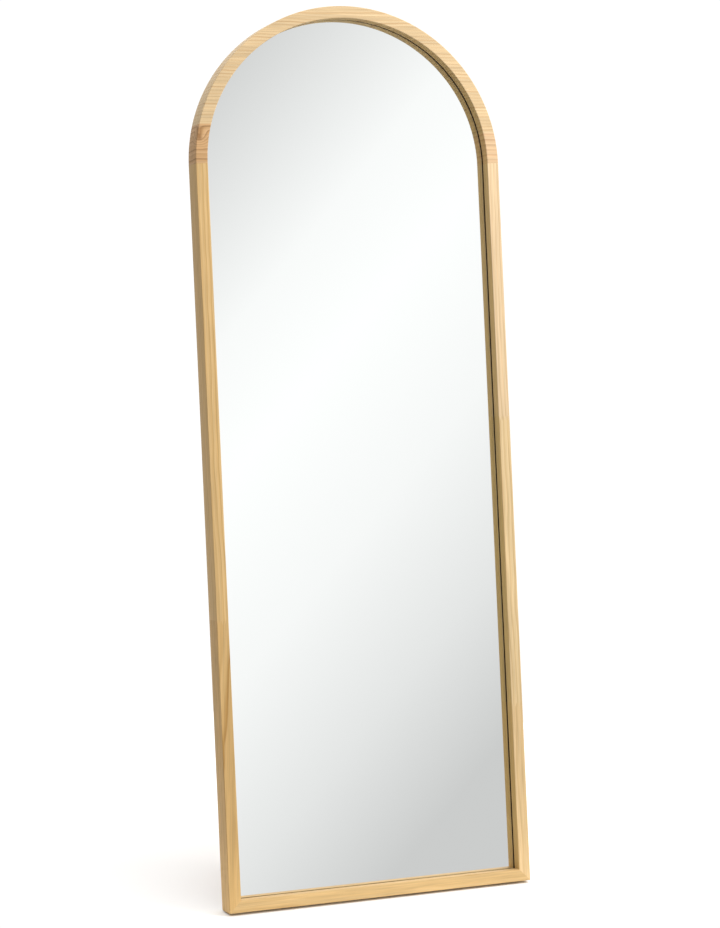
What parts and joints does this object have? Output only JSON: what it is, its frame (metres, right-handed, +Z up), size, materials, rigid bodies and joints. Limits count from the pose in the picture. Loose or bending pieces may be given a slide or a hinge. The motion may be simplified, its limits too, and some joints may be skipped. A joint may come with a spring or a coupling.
{
  "type": "arched floor mirror",
  "caption": "Arched full-length floor mirror in a deep box-section wooden frame, leaning back on a folding two-legged easel stand hinged to its back.",
  "frame": {"origin": "on the floor, under the centre of the bounding box of the standing mirror", "axes": "+Z up; +Y towards the back, so the glass faces -Y and the top leans towards +Y; +X to the right when looking at the glass"},
  "size_m": [0.62, 0.3486, 1.6932],
  "materials": {
    "frame_wood": "planed fir, clear satin lacquer",
    "stand_wood": "planed beech, clear satin lacquer",
    "dowel_wood": "fluted beech dowel, raw",
    "foam_tape": "black closed-cell foam",
    "silvered_glass": "polished, silvered on the back",
    "hardboard": "brown hardboard, smooth face out",
    "zinc_steel": "bright zinc plate",
    "pad_rubber": "matte",
    "nylon": "natural nylon"
  },
  "bodies": {
    "frame": {"left_stile_lower": "frame_wood", "left_stile_upper": "frame_wood", "right_stile_lower": "frame_wood", "right_stile_middle": "frame_wood", "right_stile_upper": "frame_wood", "bottom_rail": "frame_wood", "left_shoulder": "frame_wood", "right_shoulder": "frame_wood", "arch_crown": "frame_wood", "mitre_dowels": "dowel_wood", "springing_dowels": "dowel_wood", "cushion_tape": "foam_tape", "mirror_glass": "silvered_glass", "backing_panel": "hardboard", "retaining_clips": "zinc_steel", "clip_screws": "zinc_steel", "corner_braces": "zinc_steel", "springing_plates": "zinc_steel", "plate_screws": "zinc_steel", "frame_pads": "pad_rubber", "pivot_rail": "stand_wood", "rail_screws": "zinc_steel", "left_bracket": "zinc_steel", "right_bracket": "zinc_steel", "bracket_screws": "zinc_steel", "left_pivot_bolt": "zinc_steel", "right_pivot_bolt": "zinc_steel", "pivot_nuts": "zinc_steel", "pivot_washers": "nylon", "left_hanger_plate": "zinc_steel", "right_hanger_plate": "zinc_steel", "hanger_screws": "zinc_steel"},
    "stand": {"left_leg": "stand_wood", "right_leg": "stand_wood", "stand_top_bar": "stand_wood", "stand_bottom_bar": "stand_wood", "stand_dowels": "dowel_wood", "leg_pads": "pad_rubber"},
    "left_ring": {"left_hanger_ring": "zinc_steel"},
    "right_ring": {"right_hanger_ring": "zinc_steel"}
  },
  "joints": [
    {"name": "stand_fold", "type": "hinge", "parent": "frame", "child": "stand", "pos_m": [0, 0.04478, 1.13733], "axis": [1, 0, 0], "range_deg": [-14, 0]},
    {"name": "left_ring_swing", "type": "hinge", "parent": "frame", "child": "left_ring", "pos_m": [-0.242, 0.03188, 1.16005], "axis": [1, 0, 0], "range_deg": [-6, 172]},
    {"name": "right_ring_swing", "type": "hinge", "parent": "frame", "child": "right_ring", "pos_m": [0.242, 0.03188, 1.16005], "axis": [1, 0, 0], "range_deg": [-6, 172]}
  ]
}
